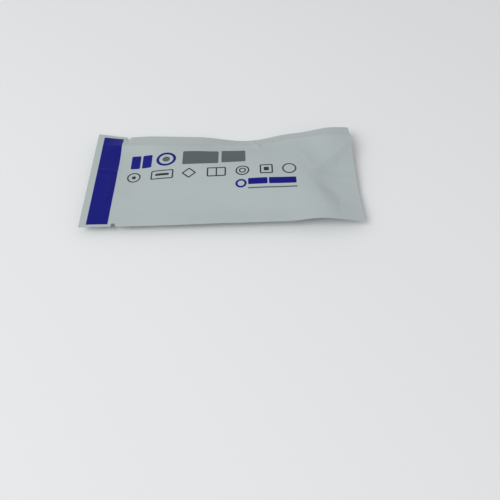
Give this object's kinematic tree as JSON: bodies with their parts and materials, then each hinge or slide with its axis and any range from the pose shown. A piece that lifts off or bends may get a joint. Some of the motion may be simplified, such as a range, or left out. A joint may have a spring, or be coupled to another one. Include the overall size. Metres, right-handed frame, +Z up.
{
  "type": "sealed test cassette pouch",
  "caption": "Flat sealed film pouch with a test cassette inside, welded rim, tear notches in both long edges and a printed band at one end, lying face up.",
  "frame": {"origin": "centre of the bounding box, on the table that the pouch lies on", "axes": "+X along the pouch from the printed band to the tail, +Y across it to the far side, +Z up out of its front face"},
  "size_m": [0.135, 0.066, 0.0089],
  "materials": {
    "laminate_film": "matt white printed laminate"
  },
  "bodies": {
    "root": {"sealed_pouch": "laminate_film"}
  },
  "joints": []
}
